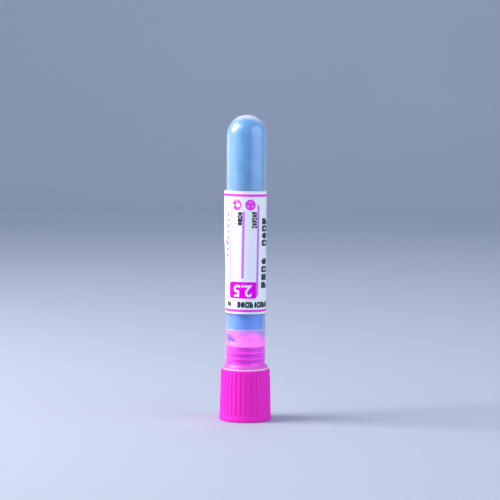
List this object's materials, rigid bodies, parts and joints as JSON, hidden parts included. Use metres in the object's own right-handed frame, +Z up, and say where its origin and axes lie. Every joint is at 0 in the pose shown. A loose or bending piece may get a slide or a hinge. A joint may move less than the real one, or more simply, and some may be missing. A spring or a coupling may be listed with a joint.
{
  "type": "blood collection tube",
  "caption": "Slim round-ended sample tube with a collar, a wrapped paper label and a fluted push cap with a ribbed plug, standing on its cap.",
  "frame": {"origin": "centre of the cap's flat outer face, on which the capped tube stands upside down", "axes": "+Z up along the tube's axis, from the cap to the round end; +X to the viewer's right and +Y away from the viewer, who faces the label's print; the label's loose end is at -X"},
  "size_m": [0.016, 0.016, 0.0924],
  "materials": {
    "tube_plastic": "translucent polypropylene, smooth and glossy, faintly blue",
    "cap_plastic": "pink polyethylene, satin to glossy",
    "label_paper": "white coated label paper with pink print"
  },
  "bodies": {
    "cap": {"cap": "cap_plastic"},
    "tube": {"tube": "tube_plastic", "label": "label_paper"}
  },
  "joints": [
    {"name": "tube_pull", "type": "slide", "parent": "cap", "child": "tube", "axis": [0, 0, 1], "range_m": [0, 0.03]}
  ]
}
